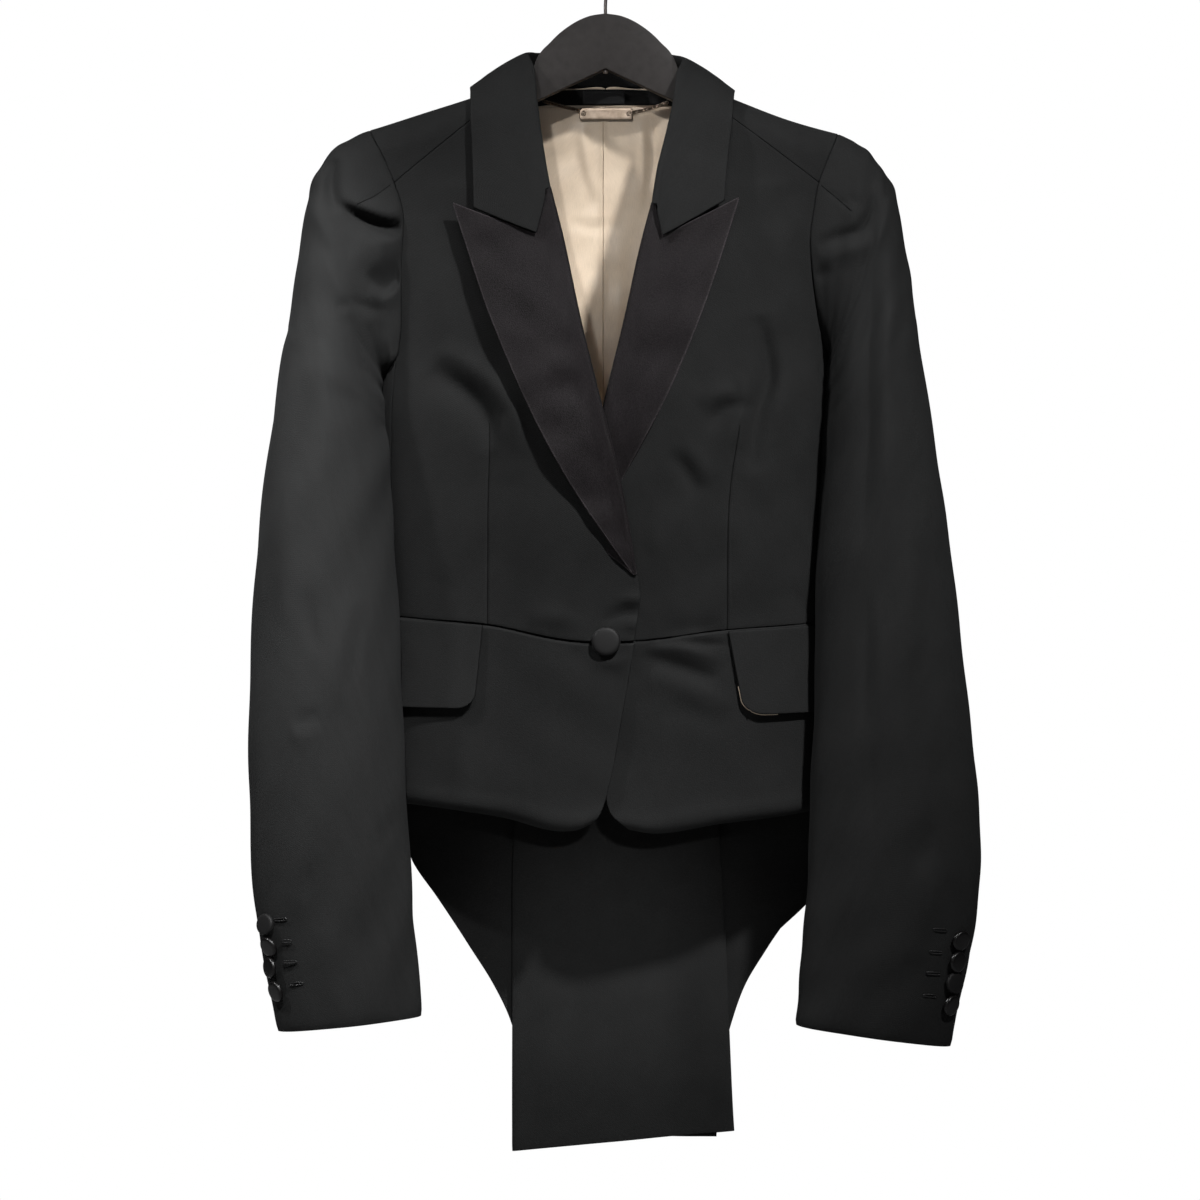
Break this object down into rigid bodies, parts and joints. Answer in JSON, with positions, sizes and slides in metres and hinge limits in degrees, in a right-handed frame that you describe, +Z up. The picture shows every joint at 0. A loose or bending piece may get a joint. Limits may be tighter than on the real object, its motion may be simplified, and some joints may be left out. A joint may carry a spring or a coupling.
{
  "type": "tailored jacket on hanger",
  "caption": "Black tailored tailcoat with satin peak lapels, one button, flap pockets and long cut-away tails, hung on a flat hanger.",
  "frame": {"origin": "where a rail touches the inside of the hanger's hook, at the top of the hook", "axes": "+Z up, the jacket's front faces -Y, the picture's left is -X"},
  "size_m": [0.5166, 0.1387, 0.8839],
  "materials": {
    "wool": "matt worsted wool",
    "lapel_satin": "matt satin facing",
    "lining": "satin lining",
    "label": "woven label, bare",
    "button_cloth": "cloth-covered button",
    "button_satin": "satin-covered button",
    "plate_metal": "satin champagne plate",
    "hanger": "satin black",
    "hook_metal": "polished"
  },
  "bodies": {
    "root": {"back_left": "wool", "back_right": "wool", "collar": "wool", "cuff_button_left_1": "button_cloth", "cuff_button_left_2": "button_satin", "cuff_button_left_3": "button_satin", "cuff_button_left_4": "button_satin", "cuff_button_right_1": "button_satin", "cuff_button_right_2": "button_satin", "cuff_button_right_3": "button_cloth", "cuff_button_right_4": "button_satin", "flap_left": "wool", "flap_right": "wool", "front_left": "wool", "front_right": "wool", "hanger_body": "hanger", "hanger_hook": "hook_metal", "lapel_left": "lapel_satin", "lapel_right": "lapel_satin", "lining_left": "lining", "lining_right": "lining", "loop_chain_left": "plate_metal", "loop_chain_right": "plate_metal", "loop_plate": "plate_metal", "main_button": "button_cloth", "neck_facing": "wool", "neck_label": "label", "side_left": "wool", "side_right": "wool", "skirt_front_left": "wool", "skirt_front_right": "wool", "sleeve_under_left": "wool", "sleeve_under_right": "wool", "sleeve_upper_left": "wool", "sleeve_upper_right": "wool", "tail_left": "wool", "tail_pleat": "wool", "tail_right": "wool"}
  },
  "joints": []
}
